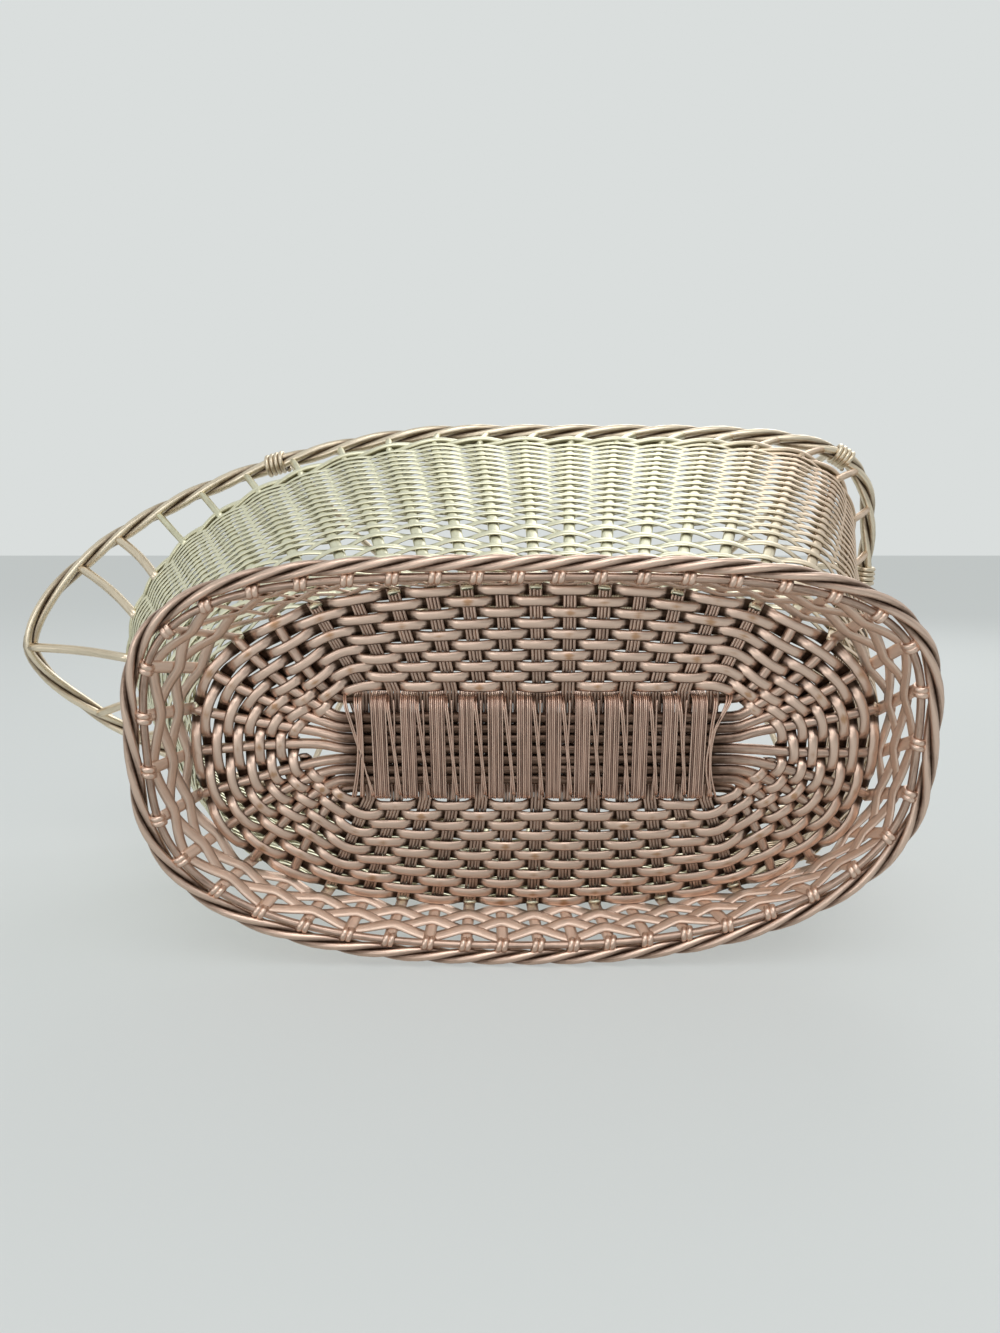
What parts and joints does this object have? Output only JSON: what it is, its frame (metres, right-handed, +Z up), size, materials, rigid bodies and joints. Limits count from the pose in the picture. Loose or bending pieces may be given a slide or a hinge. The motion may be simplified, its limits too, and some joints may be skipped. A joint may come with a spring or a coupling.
{
  "type": "wine basket",
  "caption": "Oval woven wire cradle that holds a wine bottle lying down, with an open lattice foot, a flared wall, a rope rim drawn out to a pouring lip and a fixed carrying handle.",
  "frame": {"origin": "on the table under the middle of the overall length, midway between the sides", "axes": "+X to the pouring lip, +Y to the left side of someone who stands behind the basket and looks at the lip, +Z up"},
  "size_m": [0.2994, 0.1506, 0.1926],
  "materials": {
    "base_wire": "silver plated, tarnished to a pinkish brown, satin",
    "wall_wire": "silver plated, pale yellow cast, satin",
    "binding_wire": "silver plated fine wire, darkened"
  },
  "bodies": {
    "root": {"foot_rope": "base_wire", "foot_core_wire": "base_wire", "skirt_lattice": "base_wire", "base_weave": "base_wire", "slath_edge_rod_right": "base_wire", "slath_rod_1": "base_wire", "slath_rod_2": "base_wire", "slath_rod_3": "base_wire", "slath_rod_4": "base_wire", "slath_rod_5": "base_wire", "slath_rod_6": "base_wire", "slath_rod_7": "base_wire", "slath_edge_rod_left": "base_wire", "side_spoke_1": "base_wire", "side_spoke_2": "base_wire", "side_spoke_3": "base_wire", "side_spoke_4": "base_wire", "side_spoke_5": "base_wire", "side_spoke_6": "base_wire", "side_spoke_7": "base_wire", "side_spoke_8": "base_wire", "side_spoke_9": "base_wire", "side_spoke_10": "base_wire", "side_spoke_11": "base_wire", "side_spoke_12": "base_wire", "side_spoke_13": "base_wire", "slath_binding_1": "binding_wire", "slath_binding_2": "binding_wire", "slath_binding_3": "binding_wire", "slath_binding_4": "binding_wire", "slath_binding_5": "binding_wire", "slath_binding_6": "binding_wire", "slath_binding_7": "binding_wire", "slath_binding_8": "binding_wire", "slath_binding_9": "binding_wire", "slath_binding_10": "binding_wire", "slath_binding_11": "binding_wire", "slath_binding_12": "binding_wire", "slath_end_winding_front": "binding_wire", "slath_end_winding_back": "binding_wire", "wall_weave": "wall_wire", "lip_rib_1": "wall_wire", "lip_rib_2": "wall_wire", "lip_rib_3": "wall_wire", "lip_rib_4": "wall_wire", "lip_rib_5": "wall_wire", "wall_border": "wall_wire", "rim_rope": "wall_wire", "handle_outer_wire_left": "wall_wire", "handle_inner_wire_left": "wall_wire", "rim_seat_front_left": "binding_wire", "rim_seat_rear_outer_left": "binding_wire", "rim_seat_rear_inner_left": "binding_wire", "handle_outer_wire_right": "wall_wire", "handle_inner_wire_right": "wall_wire", "rim_seat_front_right": "binding_wire", "rim_seat_rear_outer_right": "binding_wire", "rim_seat_rear_inner_right": "binding_wire", "handle_wrap": "binding_wire"}
  },
  "joints": []
}
